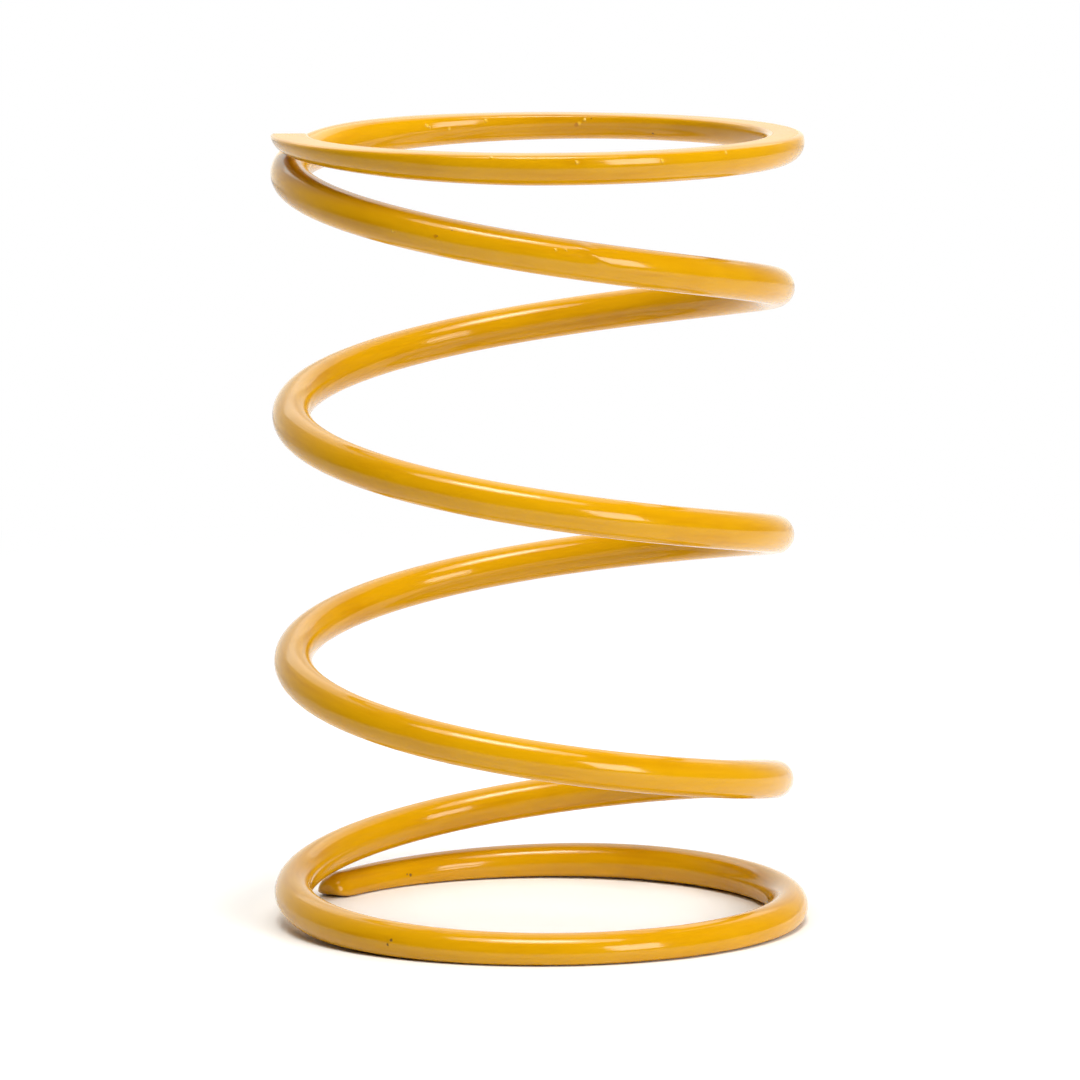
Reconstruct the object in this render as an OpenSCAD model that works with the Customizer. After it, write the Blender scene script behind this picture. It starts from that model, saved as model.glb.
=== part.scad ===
// Torque spring: one length of round wire wound as an open coil.
// The turn at each end is closed onto the next one and ground flat, so the spring stands on it.
// The axis is Z, and the origin lies on it, in the plane of the bottom ground face.

/* [Wire and coil] */
// Diameter of the round wire
wire_d = 4; // [3:0.1:5]
// Mean diameter of the open coil
coil_d = 50.5; // [40:0.5:65]
// How far the closed turn at the top swells outwards, half a turn from its tip
top_swell = 1; // [0:0.1:3]
// How far the closed turn at the bottom swells outwards, half a turn from its tip
bottom_swell = 1.6; // [0:0.1:3]
// Length of the free spring, from ground face to ground face
free_length = 83; // [70:0.5:110]
// Turns of wire from tip to tip
total_turns = 4.92; // [4.4:0.02:6]
// Direction of winding
hand = "left"; // [left, right]
// How far the wound coil leans from square to its ground faces
lean = 0.8; // [0:0.1:2]

/* [Closed ends] */
// Turns at each end that lie level before the wire leaves for the open coil
closed_turns = 0.58; // [0.5:0.005:0.65]
// Turns over which the level turn bends into the open pitch
blend_turns = 0.66; // [0.55:0.01:0.8]
// Climb of the wire in one level turn
closed_pitch = 0.15; // [0:0.05:0.6]
// Turns next to a tip over which the wire lifts onto its neighbour
lift_turns = 0.26; // [0.15:0.01:0.45]
// Gap between a tip and the turn that it lies against
tip_gap = 0.2; // [0.1:0.05:0.8]

/* [Ground faces] */
// Thickness of wire that grinding leaves at the top tip, for a coil that does not lean
top_tip = 1.8; // [0.8:0.05:2.8]
// Thickness of wire that grinding leaves at the bottom tip, for a coil that does not lean
bottom_tip = 2.35; // [0.8:0.05:2.8]
// Angle of the top tip round the axis, from +X
tip_angle = 180; // [0:5:360]

/* [Smoothness] */
// Sides of the wire's round section
wire_sides = 16; // [12:2:18]
// Sections along each turn
sections_per_turn = 56; // [36:2:58]

/* [Hidden] */

wire_r = wire_d / 2;
coil_r = coil_d / 2;

// Fall of the wire's centre from the top tip to the bottom tip
wire_fall = free_length + wire_d - top_tip - bottom_tip;

// Distance of the centres where a tip lies against the next turn
tip_spacing = wire_d + tip_gap;

// Open pitch that fills the length, with both tips lying against their neighbours
open_turns = total_turns - 2 * closed_turns - blend_turns - 2 * climbed(1);
extra_pitch = (wire_fall - closed_pitch * total_turns - 2 * (tip_spacing - closed_pitch)) / open_turns;

// Lift of each tip above its level turn
tip_lift = tip_spacing - closed_pitch - extra_pitch * climbed(1);

section_count = round(sections_per_turn * total_turns);

// Block that stands for the grinding wheel
wheel_w = coil_d + 2 * max(top_swell, bottom_swell) + 3 * wire_d;
wheel_h = 2 * wire_d;

// Soft step from 0 to 1, its slope, and its area from 0
function held(x) = min(max(x, 0), 1);
function soft_step(x) = let (s = held(x)) s * s * (3 - 2 * s);
function soft_slope(x) = let (s = held(x)) 6 * s * (1 - s);
function soft_area(x) = let (s = held(x)) s ^ 3 - s ^ 4 / 2 + max(x - 1, 0);

// Share of the open pitch at a number of turns from a tip, and the turns climbed at it so far
function openness(turns) = soft_step((turns - closed_turns) / blend_turns);
function climbed(turns) = blend_turns * soft_area((turns - closed_turns) / blend_turns);

// Distance of the wire's centre, along the axis, from its nearer tip
function end_fall(turns) =
    closed_pitch * turns + tip_lift * soft_step(turns / lift_turns) + extra_pitch * climbed(turns);

// The same distance from the top tip, at a number of turns below it
function fall(turns) =
    turns < total_turns / 2 ? end_fall(turns) : wire_fall - end_fall(total_turns - turns);

function from_tip(turns) = min(turns, total_turns - turns);

// Pitch and mean radius of the coil at a number of turns below the top tip
function pitch(turns) =
    let (u = from_tip(turns))
    closed_pitch + tip_lift * soft_slope(u / lift_turns) / lift_turns + extra_pitch * openness(u);
function radius(turns) =
    coil_r + (turns < total_turns / 2 ? top_swell : bottom_swell) * sin(180 * held(from_tip(turns))) ^ 2;

// One point on the wire's skin, on a section square to the wire
function skin_point(turns, around) =
    let (
        angle = tip_angle + 360 * turns,
        lead = atan(pitch(turns) / (2 * PI * radius(turns))),
        out = radius(turns) + wire_r * cos(around),
        up = wire_r * sin(around),
        height = free_length - top_tip + wire_r - fall(turns)
    )
    [
        out * cos(angle) - up * sin(lead) * sin(angle),
        out * sin(angle) + up * sin(lead) * cos(angle),
        height + up * cos(lead)
    ];

// The wire with square-cut ends, as it is wound and before it is ground
module wound_wire() {
    points = [
        for (i = [0:section_count], j = [0:wire_sides - 1])
            skin_point(total_turns * i / section_count, 360 * j / wire_sides)
    ];
    sides = [
        for (i = [0:section_count - 1], j = [0:wire_sides - 1])
            let (
                k = (j + 1) % wire_sides,
                a = i * wire_sides,
                b = a + wire_sides
            )
            each [[a + j, a + k, b + k], [a + j, b + k, b + j]]
    ];
    top_cap = [for (j = [wire_sides - 1:-1:0]) j];
    bottom_cap = [for (j = [0:wire_sides - 1]) section_count * wire_sides + j];
    polyhedron(points = points, faces = concat(sides, [top_cap, bottom_cap]), convexity = 10);
}

// What the grinding wheel takes off, from a plane upwards
module ground_off() {
    translate([-wheel_w / 2, -wheel_w / 2, 0])
        cube([wheel_w, wheel_w, wheel_h]);
}

// The wire turned about the middle of the spring, as it leans between the grinding wheels
module leaning_wire() {
    translate([0, 0, free_length / 2])
        rotate([lean, 0, 0])
            translate([0, 0, -free_length / 2])
                wound_wire();
}

module spring() {
    color("goldenrod")
        mirror([0, hand == "left" ? 0 : 1, 0])
            difference() {
                leaning_wire();
                translate([0, 0, free_length])
                    ground_off();
                mirror([0, 0, 1])
                    ground_off();
            }
}

spring();
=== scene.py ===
"""A painted torque spring: round wire wound as an open coil, with closed and ground ends."""

import math

import bpy
from bpy.props import FloatProperty, FloatVectorProperty, IntProperty, PointerProperty
from mathutils import Matrix, Vector


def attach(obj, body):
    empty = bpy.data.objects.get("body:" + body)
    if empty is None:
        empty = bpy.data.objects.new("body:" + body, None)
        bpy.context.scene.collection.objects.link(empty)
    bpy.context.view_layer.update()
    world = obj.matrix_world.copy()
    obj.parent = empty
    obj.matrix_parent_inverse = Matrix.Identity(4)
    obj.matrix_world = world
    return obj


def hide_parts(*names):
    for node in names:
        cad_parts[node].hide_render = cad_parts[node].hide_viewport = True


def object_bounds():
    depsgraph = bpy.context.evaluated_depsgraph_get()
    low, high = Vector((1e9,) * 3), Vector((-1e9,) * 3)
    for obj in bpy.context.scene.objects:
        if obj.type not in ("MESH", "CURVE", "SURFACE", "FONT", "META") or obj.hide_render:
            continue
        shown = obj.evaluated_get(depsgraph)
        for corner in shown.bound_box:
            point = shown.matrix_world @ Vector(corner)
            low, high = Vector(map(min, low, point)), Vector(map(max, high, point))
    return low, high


bl_info = {
    "name": "Painted Torque Spring",
    "version": (1, 0, 0),
    "blender": (4, 5, 0),
    "location": "3D View > Sidebar > Spring",
    "description": "Winds, grinds and paints a coil spring, and sets it in a white studio",
    "category": "Add Mesh",
}

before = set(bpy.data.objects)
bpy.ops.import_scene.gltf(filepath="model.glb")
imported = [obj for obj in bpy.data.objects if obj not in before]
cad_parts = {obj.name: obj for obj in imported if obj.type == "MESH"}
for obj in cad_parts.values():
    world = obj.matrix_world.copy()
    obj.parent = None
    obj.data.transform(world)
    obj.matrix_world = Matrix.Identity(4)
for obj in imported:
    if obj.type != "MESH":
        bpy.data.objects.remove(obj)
CAD_LOW, CAD_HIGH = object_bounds()

MM = 0.001


# Settings


class SpringShape(bpy.types.PropertyGroup):
    """Sizes of the wound and ground wire"""

    wire_diameter: FloatProperty(
        name="Wire diameter",
        description="Diameter of the round wire",
        default=4 * MM,
        unit="LENGTH",
    )
    coil_diameter: FloatProperty(
        name="Coil diameter",
        description="Mean diameter of the open coil",
        default=50.5 * MM,
        unit="LENGTH",
    )
    top_swell: FloatProperty(
        name="Top swell",
        description="How far the closed turn at the top swells outwards, half a turn from its tip",
        default=1.0 * MM,
        unit="LENGTH",
    )
    bottom_swell: FloatProperty(
        name="Bottom swell",
        description="How far the closed turn at the bottom swells outwards, half a turn from its tip",
        default=1.6 * MM,
        unit="LENGTH",
    )
    free_length: FloatProperty(
        name="Free length",
        description="Length from ground face to ground face",
        default=CAD_HIGH.z - CAD_LOW.z,
        unit="LENGTH",
    )
    total_turns: FloatProperty(
        name="Total turns",
        description="Turns of wire from tip to tip",
        default=4.92,
    )
    closed_turns: FloatProperty(
        name="Closed turns",
        description="Turns at each end that lie level",
        default=0.58,
    )
    blend_turns: FloatProperty(
        name="Blend turns",
        description="Turns over which the level turn bends into the open pitch",
        default=0.66,
    )
    closed_pitch: FloatProperty(
        name="Closed pitch",
        description="Climb of the wire in one level turn",
        default=0.15 * MM,
        unit="LENGTH",
    )
    lift_turns: FloatProperty(
        name="Lift turns",
        description="Turns next to a tip over which the wire lifts onto its neighbour",
        default=0.26,
    )
    tip_gap: FloatProperty(
        name="Tip gap",
        description="Gap between a tip and the turn that it lies against",
        default=0.2 * MM,
        unit="LENGTH",
    )
    top_tip: FloatProperty(
        name="Top tip",
        description="Thickness of wire left by grinding at the top tip of an upright coil",
        default=1.8 * MM,
        unit="LENGTH",
    )
    bottom_tip: FloatProperty(
        name="Bottom tip",
        description="Thickness of wire left by grinding at the bottom tip of an upright coil",
        default=2.35 * MM,
        unit="LENGTH",
    )
    tip_angle: FloatProperty(
        name="Tip angle",
        description="Angle of the top tip round the axis, from +X",
        default=math.pi,
        subtype="ANGLE",
    )
    lean: FloatProperty(
        name="Lean",
        description="How far the coil leans from square to its ground faces",
        default=math.radians(0.8),
        subtype="ANGLE",
    )
    edge_round: FloatProperty(
        name="Edge round",
        description="How far paint rounds the edges of the ground faces",
        default=0.7 * MM,
        unit="LENGTH",
    )
    tip_round: FloatProperty(
        name="Tip round",
        description="Radius on the cut end of the wire at the top",
        default=0.25 * MM,
        unit="LENGTH",
    )
    nose_round: FloatProperty(
        name="Nose round",
        description="How far the cut end of the wire at the bottom narrows all round",
        default=1.2 * MM,
        unit="LENGTH",
    )
    nose_length: FloatProperty(
        name="Nose length",
        description="Length over which the cut end at the bottom narrows",
        default=2.6 * MM,
        unit="LENGTH",
    )
    sections_per_turn: IntProperty(
        name="Sections per turn",
        description="Sections of the mesh along one turn",
        default=150,
        min=24,
    )


class PaintFinish(bpy.types.PropertyGroup):
    """Colours and texture of the paint"""

    body_colour: FloatVectorProperty(
        name="Paint",
        description="Colour of a full coat",
        default=(0.615, 0.307, 0.002),
        subtype="COLOR",
    )
    # Also the colour of the darker, mottled paint along the edges of the ground faces
    deep_colour: FloatVectorProperty(
        name="Thin paint",
        description="Colour where the coat is thin over dark steel",
        default=(0.5, 0.22, 0.001),
        subtype="COLOR",
    )
    # Pale colour of the nibs: partly thicker paint over dust, partly a painted highlight on each raised dot
    nib_highlight_colour: FloatVectorProperty(
        name="Nibs",
        description="Colour of the thick paint on a raised dot of dust",
        default=(0.95, 0.6, 0.06),
        subtype="COLOR",
    )
    speck_colour: FloatVectorProperty(
        name="Specks",
        description="Colour of grit caught in the paint",
        default=(0.08, 0.03, 0.003),
        subtype="COLOR",
    )
    bare_colour: FloatVectorProperty(
        name="Worn paint",
        description="Colour where next to no paint is left",
        default=(0.36, 0.11, 0.006),
        subtype="COLOR",
    )
    roughness: FloatProperty(
        name="Roughness",
        description="Roughness of the gloss",
        default=0.09,
        subtype="FACTOR",
    )
    peel_height: FloatProperty(
        name="Orange peel",
        description="Height of the ripples that spraying leaves",
        default=0.012 * MM,
        unit="LENGTH",
    )


class StudioLook(bpy.types.PropertyGroup):
    """Floor, lights and camera"""

    floor_colour: FloatVectorProperty(
        name="Floor",
        description="Colour of the pale floor",
        default=(0.89, 0.9, 0.98),
        subtype="COLOR",
    )
    floor_size: FloatProperty(
        name="Floor size",
        description="Side of the square floor",
        default=1.2,
        unit="LENGTH",
    )
    overhead_power: FloatProperty(
        name="Overhead light",
        description="Power of the light above the spring",
        default=8.4,
        unit="POWER",
    )
    side_power: FloatProperty(
        name="Side light",
        description="Power of the tall light at the front right",
        default=4.7,
        unit="POWER",
    )
    fill_power: FloatProperty(
        name="Fill light",
        description="Power of the light at the right, which leaves no highlight",
        default=3.3,
        unit="POWER",
    )
    back_power: FloatProperty(
        name="Back light",
        description="Power of the light above and behind the spring",
        default=2.4,
        unit="POWER",
    )
    lamp_colour: FloatVectorProperty(
        name="Lamp colour",
        description="Colour of the overhead and side lights",
        default=(1.0, 0.985, 0.87),
        subtype="COLOR",
    )
    room_colour: FloatVectorProperty(
        name="Room colour",
        description="Colour of the other lights and of the room",
        default=(1.0, 0.985, 0.91),
        subtype="COLOR",
    )
    camera_place: FloatVectorProperty(
        name="Camera place",
        description="Where the camera stands",
        default=(0.66 * MM, -840.9 * MM, 151.8 * MM),
        subtype="TRANSLATION",
    )
    camera_tilt: FloatProperty(
        name="Camera tilt",
        description="How far the camera looks down",
        default=math.radians(7.558),
        subtype="ANGLE",
    )
    camera_roll: FloatProperty(
        name="Camera roll",
        description="How far the camera leans to one side",
        default=math.radians(-0.156),
        subtype="ANGLE",
    )
    lens: FloatProperty(
        name="Lens",
        description="Focal length in millimetres on a 36 mm frame",
        default=270.25,
    )


# The wire's path


# Sections that round off the cut end of the wire, at the top and at the bottom
HEAD_STEPS = 6
NOSE_STEPS = 14


def held(x):
    """The number, held between 0 and 1"""
    return min(max(x, 0.0), 1.0)


def soft_step(x):
    """A step from 0 to 1 that starts and ends softly"""
    s = held(x)
    return s * s * (3 - 2 * s)


def soft_area(x):
    """Area under the soft step, from 0 to x"""
    s = held(x)
    return s**3 - s**4 / 2 + max(x - 1, 0.0)


class Coil:
    """The path of the wire's centre, in turns below the top tip"""

    def __init__(self, shape):
        self.shape = shape
        self.wire_r = shape.wire_diameter / 2
        self.turn_length = math.pi * shape.coil_diameter
        self.top = CAD_LOW.z + shape.free_length
        self.bottom = CAD_LOW.z
        self.whole_fall = shape.free_length + shape.wire_diameter - shape.top_tip - shape.bottom_tip
        spacing = shape.wire_diameter + shape.tip_gap
        open_turns = shape.total_turns - 2 * shape.closed_turns - shape.blend_turns - 2 * self.climbed(1)
        level_fall = shape.closed_pitch * shape.total_turns + 2 * (spacing - shape.closed_pitch)
        self.extra_pitch = (self.whole_fall - level_fall) / open_turns
        self.tip_lift = spacing - shape.closed_pitch - self.extra_pitch * self.climbed(1)
        self.tilt = Matrix.Rotation(shape.lean, 3, "X")
        self.middle = Vector((0, 0, (self.top + self.bottom) / 2))

    def climbed(self, turns):
        """Turns climbed at the open pitch, so many turns from a tip"""
        shape = self.shape
        return shape.blend_turns * soft_area((turns - shape.closed_turns) / shape.blend_turns)

    def end_fall(self, turns):
        """Distance along the axis from the nearer tip, so many turns from it"""
        shape = self.shape
        lift = self.tip_lift * soft_step(turns / shape.lift_turns)
        return shape.closed_pitch * turns + lift + self.extra_pitch * self.climbed(turns)

    def fall(self, turns):
        """Distance along the axis from the top tip"""
        total = self.shape.total_turns
        if turns < total / 2:
            return self.end_fall(turns)
        return self.whole_fall - self.end_fall(total - turns)

    def radius(self, turns):
        """Distance of the wire's centre from the coil's axis, with the swell of the end turns"""
        shape = self.shape
        from_tip = min(turns, shape.total_turns - turns)
        swell = shape.top_swell if turns < shape.total_turns / 2 else shape.bottom_swell
        return shape.coil_diameter / 2 + swell * math.sin(math.pi * held(from_tip)) ** 2

    def outward(self, turns):
        """Direction from the coil's axis to the wire"""
        angle = self.shape.tip_angle + math.tau * turns
        return self.tilt @ Vector((math.cos(angle), math.sin(angle), 0))

    def centre(self, turns):
        """The wire's centre, on a coil that leans about its middle"""
        height = self.top - self.shape.top_tip + self.wire_r - self.fall(turns)
        upright = Vector((0, 0, height)) - self.middle
        return self.middle + self.tilt @ upright + self.radius(turns) * self.outward(turns)

    def axes(self, turns):
        """Directions across the wire, away from the coil's axis, and up its section"""
        step = 0.001
        along = (self.centre(turns + step) - self.centre(turns - step)).normalized()
        across = along.cross(Vector((0, 0, 1))).normalized()
        return across, across.cross(along)

    def skin(self, turns, around):
        """A point on the paint; around is 0 on the outside of the coil and 90 degrees on top"""
        across, upward = self.axes(turns)
        return self.centre(turns) + self.wire_r * (math.cos(around) * across + math.sin(around) * upward)

    def rounded_end(self, length, depth, steps):
        """Pairs of turns from a cut end and inset of the section there"""
        angles = [math.pi / 2 * i / steps for i in range(steps)]
        return [(length * (1 - math.cos(a)) / self.turn_length, depth * (1 - math.sin(a))) for a in angles]

    def stations(self):
        """Pairs of turns and inset for each section, closer together where an end is rounded"""
        shape = self.shape
        head = self.rounded_end(shape.tip_round, shape.tip_round, HEAD_STEPS)
        nose = self.rounded_end(shape.nose_length, shape.nose_round, NOSE_STEPS)
        tail = [(shape.total_turns - turns, inset) for turns, inset in reversed(nose)]
        first = shape.tip_round / self.turn_length
        last = shape.total_turns - shape.nose_length / self.turn_length
        count = round(shape.sections_per_turn * (last - first))
        middle = [(first + (last - first) * i / count, 0.0) for i in range(count + 1)]
        return head + middle + tail


# Modelling


# Steps along each quarter of the wire's round section
SECTION_STEPS = 24

# Share of a narrowed end's inset by which its flat draws back from the ground face
FLAT_DRAW_BACK = 0.7

# Edges sharper than this stay sharp
SMOOTH_ANGLE = math.radians(60)


def deselect_all():
    if bpy.context.object and bpy.context.object.mode != "OBJECT":
        bpy.ops.object.mode_set(mode="OBJECT")
    bpy.ops.object.select_all(action="DESELECT")


def wound_wire(coil):
    """Sweeps a round section along the coil and makes it a mesh"""
    deselect_all()
    bpy.ops.curve.primitive_bezier_circle_add(radius=coil.wire_r)
    section = bpy.context.object
    section.data.resolution_u = SECTION_STEPS
    deselect_all()
    bpy.ops.curve.primitive_nurbs_path_add()
    wire = bpy.context.object
    path = wire.data
    path.splines.clear()
    spline = path.splines.new("POLY")
    stations = coil.stations()
    spline.points.add(len(stations) - 1)
    for point, (turns, inset) in zip(spline.points, stations):
        point.co = (*coil.centre(turns), 1)
        point.radius = 1 - inset / coil.wire_r
    path.dimensions = "3D"
    path.twist_mode = "Z_UP"
    path.bevel_mode = "OBJECT"
    path.bevel_object = section
    bpy.ops.object.convert(target="MESH")
    bpy.data.objects.remove(section)
    return wire


def ground_offset(side, up, limit, wire_r, soften):
    """Where a point of the round section goes once the wheel has cut the section at a height

    The third number is 1 on the edge of the flat and falls to 0 away from it.
    """
    middle = min(0.0, (limit - wire_r) / 2)
    angle = math.atan2(up, side)
    dx, dy = math.cos(angle), math.sin(angle)
    to_round = math.sqrt(wire_r**2 - (middle * dx) ** 2) - middle * dy
    to_flat = (limit - middle) / dy if dy > 1e-6 else math.inf
    corner = max(soften - abs(to_round - to_flat), 0.0) / soften
    reach = min(to_round, to_flat) - corner**2 * soften / 4
    return reach * dx, middle + reach * dy, corner


def grind_ends(wire, coil):
    """Presses the sections that stand past a ground face onto it, with softened edges"""
    stations = coil.stations()
    mesh = wire.data
    sides = len(mesh.vertices) // len(stations)
    edge = mesh.attributes.new("face_edge", "FLOAT", "POINT")
    wire_place = mesh.attributes.new("wire_place", "FLOAT_VECTOR", "POINT")
    soften = coil.shape.edge_round
    for row, (turns, inset) in enumerate(stations):
        centre = coil.centre(turns)
        across, upward = coil.axes(turns)
        radius = coil.wire_r - inset
        length = turns * coil.turn_length
        for i in range(row * sides, (row + 1) * sides):
            offset = mesh.vertices[i].co - centre
            side, up = offset.dot(across), offset.dot(upward)
            wire_place.data[i].vector = (length, side, up)
            for facing, plane in ((1, coil.top), (-1, coil.bottom)):
                limit = facing * (plane - centre.z) / upward.z - inset * FLAT_DRAW_BACK
                if limit < radius + soften:
                    side, up, corner = ground_offset(side, facing * up, limit, radius, soften)
                    up = facing * up
                    mesh.vertices[i].co = centre + side * across + up * upward
                    edge.data[i].value = corner
    mesh.update()


def close_skin(piece):
    """Closes the cut ends, turns the skin outwards and shades it smooth"""
    deselect_all()
    piece.select_set(True)
    bpy.context.view_layer.objects.active = piece
    bpy.ops.object.mode_set(mode="EDIT")
    bpy.ops.mesh.select_all(action="SELECT")
    bpy.ops.mesh.fill_holes(sides=0)
    bpy.ops.mesh.select_all(action="SELECT")
    bpy.ops.mesh.normals_make_consistent(inside=False)
    bpy.ops.object.mode_set(mode="OBJECT")
    bpy.ops.object.shade_smooth_by_angle(angle=SMOOTH_ANGLE)


# Shader building


WHITE = (1.0, 1.0, 1.0, 1.0)

# Distance from its centre, in radii, at which a spot has faded out
SPOT_REACH = 1.15


def opaque(colour):
    return (*colour, 1.0)


class Socket:
    """An output of a node; Python's operators on it add Math nodes"""

    def __init__(self, shader, output):
        self.shader = shader
        self.output = output

    def maths(self, operation, *values):
        return self.shader.node("ShaderNodeMath", {"operation": operation}, dict(enumerate(values)))

    def __add__(self, other):
        return self.maths("ADD", self, other)

    __radd__ = __add__

    def __sub__(self, other):
        return self.maths("SUBTRACT", self, other)

    def __rsub__(self, other):
        return self.maths("SUBTRACT", other, self)

    def __mul__(self, other):
        return self.maths("MULTIPLY", self, other)

    __rmul__ = __mul__

    def at_least(self, other):
        return self.maths("MAXIMUM", self, other)


class Shader:
    """A node tree that is built by expressions"""

    def __init__(self, tree):
        self.tree = tree
        tree.nodes.clear()

    def node(self, kind, settings=None, inputs=None, output=0):
        """Adds a node, fills or links its sockets, and gives one of its outputs"""
        node = self.tree.nodes.new(kind)
        for name, value in (settings or {}).items():
            setattr(node, name, value)
        for key, value in (inputs or {}).items():
            if isinstance(value, Socket):
                self.tree.links.new(value.output, node.inputs[key])
            else:
                node.inputs[key].default_value = value
        return Socket(self, node.outputs[output]) if node.outputs else node

    def vector_maths(self, operation, *values, output="Vector"):
        return self.node("ShaderNodeVectorMath", {"operation": operation}, dict(enumerate(values)), output)

    def distance(self, first, second):
        return self.vector_maths("DISTANCE", first, second, output="Value")

    def ramp_between(self, value, low, high, start=0.0, end=1.0):
        """A soft change from start at low to end at high"""
        inputs = {0: value, 1: low, 2: high, 3: start, 4: end}
        return self.node("ShaderNodeMapRange", {"interpolation_type": "SMOOTHSTEP"}, inputs)

    def mix_colours(self, share, first, second):
        """The first colour with a share of the second, on the sockets that hold colours"""
        inputs = {0: share, 6: first, 7: second}
        return self.node("ShaderNodeMix", {"data_type": "RGBA"}, inputs, output=2)

    def noise(self, place, size, detail, output="Fac"):
        """Cloudy noise with features of about the given size in metres"""
        inputs = {"Vector": place, "Scale": 1 / size, "Detail": detail}
        return self.node("ShaderNodeTexNoise", None, inputs, output)

    def spot(self, place, centre, radius, core):
        """A soft round spot about a point; core is the share of its radius that is level"""
        return self.ramp_between(self.distance(place, centre), radius * SPOT_REACH, radius * core)


# Paint


# Marks in the paint: turns below the top tip, degrees round the wire from the outside of the coil, radius

GRIT = (
    (4.162, 15, 0.2 * MM),
    (4.16, 0, 0.17 * MM),
    (4.847, 169, 0.2 * MM),
    (4.85, 164, 0.1 * MM),
    (0.662, -145, 0.14 * MM),
    (1.192, 7, 0.08 * MM),
    (1.2, 33, 0.08 * MM),
    (1.23, 37, 0.08 * MM),
    (0.708, 172, 0.1 * MM),
    (0.016, -5, 0.22 * MM),
    (1.72, 12, 0.14 * MM),
    (2.66, -20, 0.12 * MM),
    (3.78, 8, 0.16 * MM),
)

NIBS = (
    (0.829, 166, 0.24 * MM),
    (0.827, 172, 0.16 * MM),
    (0.812, -178, 0.25 * MM),
    (0.784, 167, 0.22 * MM),
    (0.717, -174, 0.26 * MM),
    (0.713, 175, 0.22 * MM),
    (0.276, 14, 0.22 * MM),
    (0.328, 10, 0.24 * MM),
    (0.374, 21, 0.2 * MM),
    (0.216, 38, 0.24 * MM),
    (0.226, 29, 0.22 * MM),
    (1.163, -5, 0.16 * MM),
    (1.263, 25, 0.16 * MM),
    (1.269, 30, 0.16 * MM),
    (0.75, 5, 0.2 * MM),
    (1.66, 25, 0.2 * MM),
    (2.74, 15, 0.22 * MM),
    (2.78, -10, 0.16 * MM),
    (3.62, 30, 0.2 * MM),
    (4.62, 20, 0.16 * MM),
    (4.7, 12, 0.22 * MM),
)

SAGS = (
    (1.279, 49, 1.0 * MM),
    (1.283, 38, 1.0 * MM),
    (1.287, 28, 1.0 * MM),
    (1.291, 20, 0.9 * MM),
)

WORN = (
    (1.364, 81, 0.3 * MM),
    (1.367, 79, 0.36 * MM),
    (1.37, 77, 0.4 * MM),
    (1.373, 75, 0.4 * MM),
    (1.376, 73, 0.36 * MM),
    (1.38, 73, 0.3 * MM),
    (1.191, 5, 0.25 * MM),
    (0.719, -170, 0.28 * MM),
)

# How far each kind of mark covers the paint with its own colour
WORN_COVER = 0.65
# The nibs' pale colour is partly a painted highlight on each raised dot
NIB_HIGHLIGHT_COVER = 0.6
GRIT_COVER = 0.85

# Heights of marks and texture, in heights of the orange peel
NIB_HEIGHT = 8.0
SAG_HEIGHT = 6.0
GRIT_HEIGHT = 2.0
FINE_PEEL_HEIGHT = 0.25
LAY_HEIGHT = 0.35

# What marks and texture add to the roughness
MOTTLE_ROUGHNESS = 0.06
GROUND_ROUGHNESS = 0.12
GRIT_ROUGHNESS = 0.3

# Sizes of the texture's features
PATCH_SIZE = 9 * MM
MOTTLE_SIZE = 1.6 * MM
STREAK_WIDTH = 1.0 * MM
PEEL_SIZE = 1.3 * MM
FINE_PEEL_SIZE = 0.45 * MM
LAY_SIZE = 1.4 * MM

# Size of the wobble that makes the outlines of marks ragged, and the whole range of its shift
WOBBLE_SIZE = 0.5 * MM
WOBBLE_REACH = 0.3 * MM

# Width of a streak as a share of its length
STREAK_SHAPE = 0.08

# Most thinning of the coat in patches and in streaks, and most darkening along the edges of the ground
# faces
PATCH_THINNING = 0.35
STREAK_THINNING = 0.45
EDGE_DARKENING = 0.7

# Depths inside a ground face between which its lay comes in
LAY_START = 0.06 * MM
LAY_FULL = 0.02 * MM

PAINT_IOR = 1.4


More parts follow.
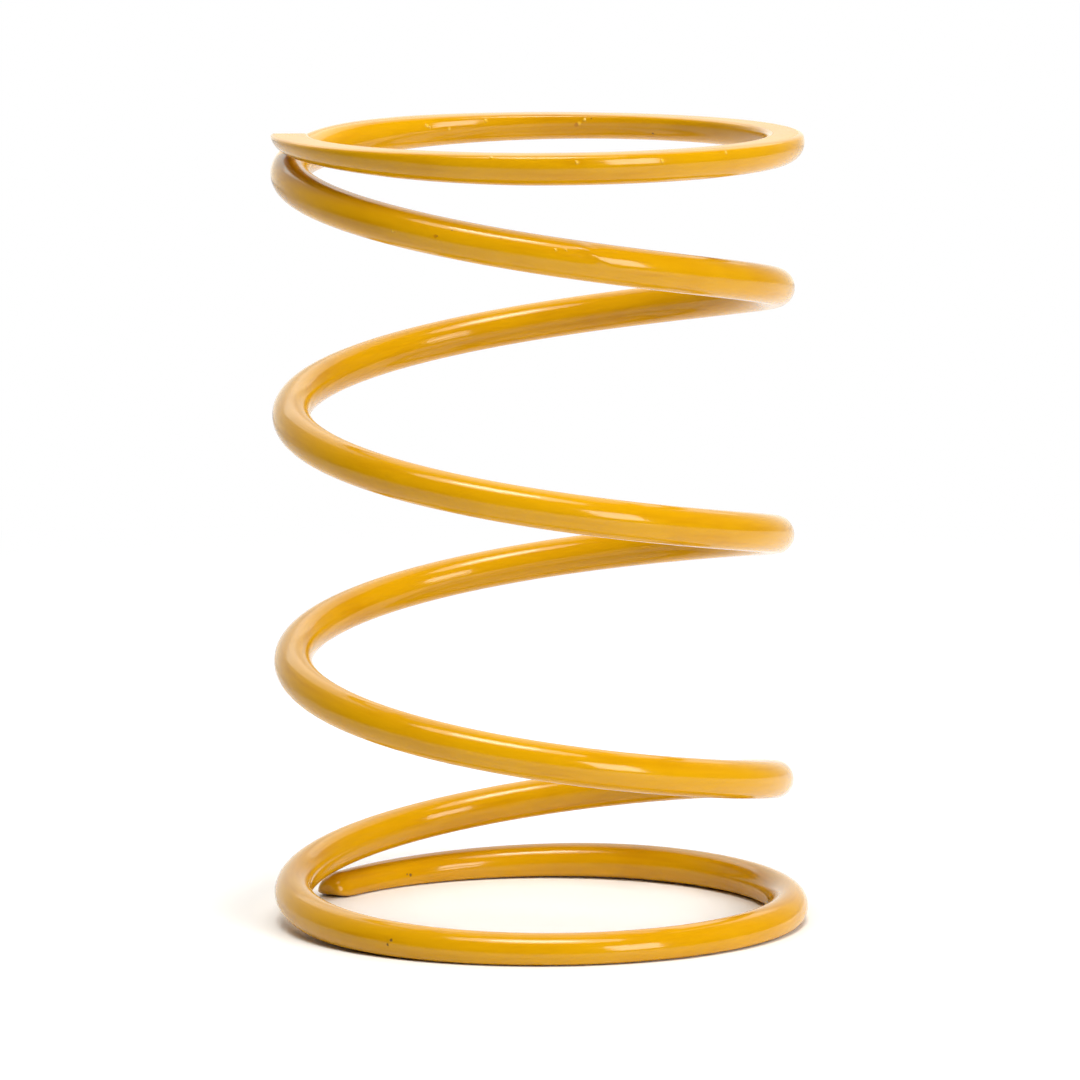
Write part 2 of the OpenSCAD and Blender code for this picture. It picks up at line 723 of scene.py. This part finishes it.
def spray_paint(coil, finish):
    """Gloss paint with orange peel, streaks, marks and darker paint along the edges of the ground faces"""
    material = bpy.data.materials.new("spring_paint")
    material.use_nodes = True
    shader = Shader(material.node_tree)
    place = shader.node("ShaderNodeTexCoord", output="Object")
    height = shader.node("ShaderNodeSeparateXYZ", None, {0: place}, output="Z")

    def spots(marks, where, core):
        return sum(
            shader.spot(where, coil.skin(turns, math.radians(around)), radius, core)
            for turns, around, radius in marks
        )

    wobble = shader.noise(place, WOBBLE_SIZE, 1.0, output="Color")
    shift = shader.vector_maths("MULTIPLY_ADD", wobble, (WOBBLE_REACH,) * 3, place)
    ragged = shader.vector_maths("SUBTRACT", shift, (WOBBLE_REACH / 2,) * 3)
    grit = spots(GRIT, ragged, core=0.55)
    nibs = spots(NIBS, place, core=0.15)
    sags = spots(SAGS, place, core=0.0)
    worn = spots(WORN, ragged, core=0.4)

    on_top = shader.ramp_between(height, coil.top - LAY_START, coil.top - LAY_FULL)
    on_bottom = shader.ramp_between(height, coil.bottom + LAY_START, coil.bottom + LAY_FULL)
    ground = on_top + on_bottom

    edge = shader.node("ShaderNodeAttribute", {"attribute_name": "face_edge"}, output="Fac")
    wire_place = shader.node("ShaderNodeAttribute", {"attribute_name": "wire_place"}, output="Vector")
    drawn_out = shader.vector_maths("MULTIPLY", wire_place, (STREAK_SHAPE, 1.0, 1.0))
    patches = shader.noise(place, PATCH_SIZE, 3.0)
    mottle = shader.noise(place, MOTTLE_SIZE, 2.0)
    streaks = shader.noise(drawn_out, STREAK_WIDTH, 2.0)
    thin_patches = shader.ramp_between(patches, low=0.42, high=0.72, end=PATCH_THINNING)
    thin_streaks = shader.ramp_between(streaks, low=0.48, high=0.75, end=STREAK_THINNING)
    # Thin patches and streaks, and darker paint in mottled patches along the edges of the ground faces
    thin = thin_patches + thin_streaks + edge * mottle * EDGE_DARKENING

    coat = shader.mix_colours(thin, opaque(finish.body_colour), opaque(finish.deep_colour))
    rubbed = shader.mix_colours(worn * WORN_COVER, coat, opaque(finish.bare_colour))
    # Nibs are raised dots of dust under the paint; their paler colour is partly a painted highlight
    nibbed_and_highlighted = shader.mix_colours(nibs * NIB_HIGHLIGHT_COVER, rubbed, opaque(finish.nib_highlight_colour))
    colour = shader.mix_colours(grit * GRIT_COVER, nibbed_and_highlighted, opaque(finish.speck_colour))

    lay = shader.node(
        "ShaderNodeTexWave",
        {"bands_direction": "X"},
        {"Vector": place, "Scale": 1 / LAY_SIZE, "Distortion": 1.2, "Detail": 2.0},
        output="Fac",
    )
    peel = shader.noise(place, PEEL_SIZE, 1.0) + shader.noise(place, FINE_PEEL_SIZE, 1.0) * FINE_PEEL_HEIGHT
    marks = nibs * NIB_HEIGHT + sags * SAG_HEIGHT + grit * GRIT_HEIGHT
    ripples = peel + marks + ground * lay * LAY_HEIGHT
    relief = shader.node(
        "ShaderNodeBump", None, {"Strength": 1.0, "Distance": finish.peel_height, "Height": ripples}
    )
    roughness = (
        finish.roughness + mottle * MOTTLE_ROUGHNESS + ground * GROUND_ROUGHNESS + grit * GRIT_ROUGHNESS
    )
    surface = shader.node(
        "ShaderNodeBsdfPrincipled",
        None,
        {"Base Color": colour, "Roughness": roughness, "IOR": PAINT_IOR, "Normal": relief},
    )
    shader.node("ShaderNodeOutputMaterial", None, {"Surface": surface})
    return material


# Stage


# Share of its side by which the floor's middle lies behind the spring
FLOOR_SETBACK = 0.22

# Distances from the spring's axis between which the floor fades to white
FADE_START = 0.12
FADE_END = 0.32

# Direction that most of the room's light comes from, and its level there and elsewhere
BRIGHT_SIDE = (-0.22, 0.975, 0)
BRIGHT_LEVEL = 1.35
DIM_LEVEL = 0.02

# Share of the overhead light's power that its brighter middle gives
MIDDLE_SHARE = 0.39

# Width of the camera's picture in millimetres, for which the lens is given
SENSOR_WIDTH = 36


def pale_floor(look):
    """A paper floor that fades into the white of the room"""
    deselect_all()
    setback = look.floor_size * FLOOR_SETBACK
    bpy.ops.mesh.primitive_plane_add(size=look.floor_size, location=(0, setback, CAD_LOW.z))
    floor = bpy.context.object
    floor.name = "pale_floor"
    bpy.ops.object.transform_apply(location=True, rotation=True, scale=True)
    material = bpy.data.materials.new("floor_paper")
    material.use_nodes = True
    shader = Shader(material.node_tree)
    place = shader.node("ShaderNodeTexCoord", output="Object")
    grain = shader.noise(place, 2 * MM, 3.0)
    relief = shader.node(
        "ShaderNodeBump", None, {"Strength": 0.2, "Distance": 0.02 * MM, "Height": grain}
    )
    paper = shader.node(
        "ShaderNodeBsdfPrincipled",
        None,
        {"Base Color": opaque(look.floor_colour), "Roughness": 0.6, "Normal": relief},
    )
    white = shader.node("ShaderNodeEmission", None, {"Color": WHITE, "Strength": 1.0})
    seen = shader.node("ShaderNodeLightPath", output="Is Camera Ray")
    far = shader.ramp_between(shader.distance(place, (0, 0, CAD_LOW.z)), FADE_START, FADE_END)
    surface = shader.node("ShaderNodeMixShader", None, {0: far * seen, 1: paper, 2: white})
    shader.node("ShaderNodeOutputMaterial", None, {"Surface": surface})
    floor.data.materials.append(material)


def white_room(scene, look):
    """Light from all round, brightest behind and beside the spring, and plain white behind it"""
    world = bpy.data.worlds.new("white_room")
    world.use_nodes = True
    scene.world = world
    shader = Shader(world.node_tree)
    direction = shader.node("ShaderNodeTexCoord", output="Generated")
    towards = shader.vector_maths("DOT_PRODUCT", direction, BRIGHT_SIDE, output="Value").at_least(0.0)
    level = towards * towards * BRIGHT_LEVEL + DIM_LEVEL
    seen = shader.node("ShaderNodeLightPath", output="Is Camera Ray")
    strength = level + seen * (1 - level)
    colour = shader.mix_colours(seen, opaque(look.room_colour), WHITE)
    surface = shader.node("ShaderNodeBackground", None, {"Color": colour, "Strength": strength})
    shader.node("ShaderNodeOutputWorld", None, {"Surface": surface})


def soft_light(name, colour, place, turn, size, power, shape="RECTANGLE"):
    """A flat light that faces down until it is turned, by degrees about X, Y and Z"""
    deselect_all()
    bpy.ops.object.light_add(type="AREA", location=place, rotation=[math.radians(a) for a in turn])
    lamp = bpy.context.object
    lamp.name = name
    lamp.data.shape = shape
    lamp.data.size, lamp.data.size_y = size
    lamp.data.energy = power
    lamp.data.color = colour
    return lamp


def studio_lights(look):
    """An overhead light with a brighter middle, lights at the side and behind, and a fill"""
    overhead_turn = (14.5, 0, -2)
    soft_light(
        "overhead",
        look.lamp_colour,
        place=(-0.01, -0.225, 0.913),
        turn=overhead_turn,
        size=(0.84, 0.46),
        power=look.overhead_power * (1 - MIDDLE_SHARE),
        shape="ELLIPSE",
    )
    soft_light(
        "overhead_middle",
        look.lamp_colour,
        place=(-0.01, -0.223, 0.904),
        turn=overhead_turn,
        size=(0.42, 0.23),
        power=look.overhead_power * MIDDLE_SHARE,
        shape="ELLIPSE",
    )
    soft_light(
        "side",
        look.lamp_colour,
        place=(0.566, -0.628, 0.349),
        turn=(70, 0, 42),
        size=(0.36, 0.42),
        power=look.side_power,
    )
    soft_light(
        "behind",
        look.room_colour,
        place=(0, 0.58, 0.73),
        turn=(40, 0, 180),
        size=(0.95, 0.75),
        power=look.back_power,
    )
    fill = soft_light(
        "fill",
        look.room_colour,
        place=(0.82, 0.3, 0.274),
        turn=(75, 0, 110),
        size=(0.8, 0.8),
        power=look.fill_power,
    )
    fill.visible_glossy = False


def studio_camera(scene, look):
    """The camera, which leans about its own line of sight before it tilts"""
    deselect_all()
    bpy.ops.object.camera_add(location=look.camera_place)
    camera = bpy.context.object
    camera.name = "studio_camera"
    camera.rotation_mode = "ZYX"
    camera.rotation_euler = (math.pi / 2 - look.camera_tilt, 0, look.camera_roll)
    camera.data.sensor_width = SENSOR_WIDTH
    camera.data.lens = look.lens
    camera.data.clip_start = 10 * MM
    scene.camera = camera


# Operators


class SPRING_OT_wind(bpy.types.Operator):
    """Wind the wire, grind both ends flat and paint it"""

    bl_idname = "spring.wind"
    bl_label = "Wind the Spring"

    def execute(self, context):
        coil = Coil(context.scene.spring_shape)
        wire = wound_wire(coil)
        wire.name = wire.data.name = "painted_spring"
        grind_ends(wire, coil)
        close_skin(wire)
        wire.data.materials.clear()
        wire.data.materials.append(spray_paint(coil, context.scene.spring_paint))
        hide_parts("spring")
        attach(wire, "root")
        return {"FINISHED"}


class SPRING_OT_stage(bpy.types.Operator):
    """Lay the floor, and set up the room, the lights and the camera"""

    bl_idname = "spring.stage"
    bl_label = "Set the Stage"

    def execute(self, context):
        scene = context.scene
        look = scene.spring_studio
        pale_floor(look)
        white_room(scene, look)
        studio_lights(look)
        studio_camera(scene, look)
        scene.view_settings.view_transform = "Standard"
        return {"FINISHED"}


# Panel and registration


class SPRING_PT_sidebar(bpy.types.Panel):
    """Steps and settings of the spring"""

    bl_idname = "SPRING_PT_sidebar"
    bl_label = "Torque Spring"
    bl_space_type = "VIEW_3D"
    bl_region_type = "UI"
    bl_category = "Spring"

    def draw(self, context):
        layout = self.layout
        groups = (
            (SPRING_OT_wind, (context.scene.spring_shape, context.scene.spring_paint)),
            (SPRING_OT_stage, (context.scene.spring_studio,)),
        )
        for operator, settings in groups:
            layout.operator(operator.bl_idname)
            for group in settings:
                for name in group.__annotations__:
                    layout.prop(group, name)


CLASSES = (SpringShape, PaintFinish, StudioLook, SPRING_OT_wind, SPRING_OT_stage, SPRING_PT_sidebar)


def register():
    for cls in CLASSES:
        bpy.utils.register_class(cls)
    bpy.types.Scene.spring_shape = PointerProperty(type=SpringShape)
    bpy.types.Scene.spring_paint = PointerProperty(type=PaintFinish)
    bpy.types.Scene.spring_studio = PointerProperty(type=StudioLook)


def unregister():
    del bpy.types.Scene.spring_studio
    del bpy.types.Scene.spring_paint
    del bpy.types.Scene.spring_shape
    for cls in reversed(CLASSES):
        bpy.utils.unregister_class(cls)


def main():
    register()
    bpy.ops.spring.wind()
    bpy.ops.spring.stage()


if __name__ == "__main__":
    main()
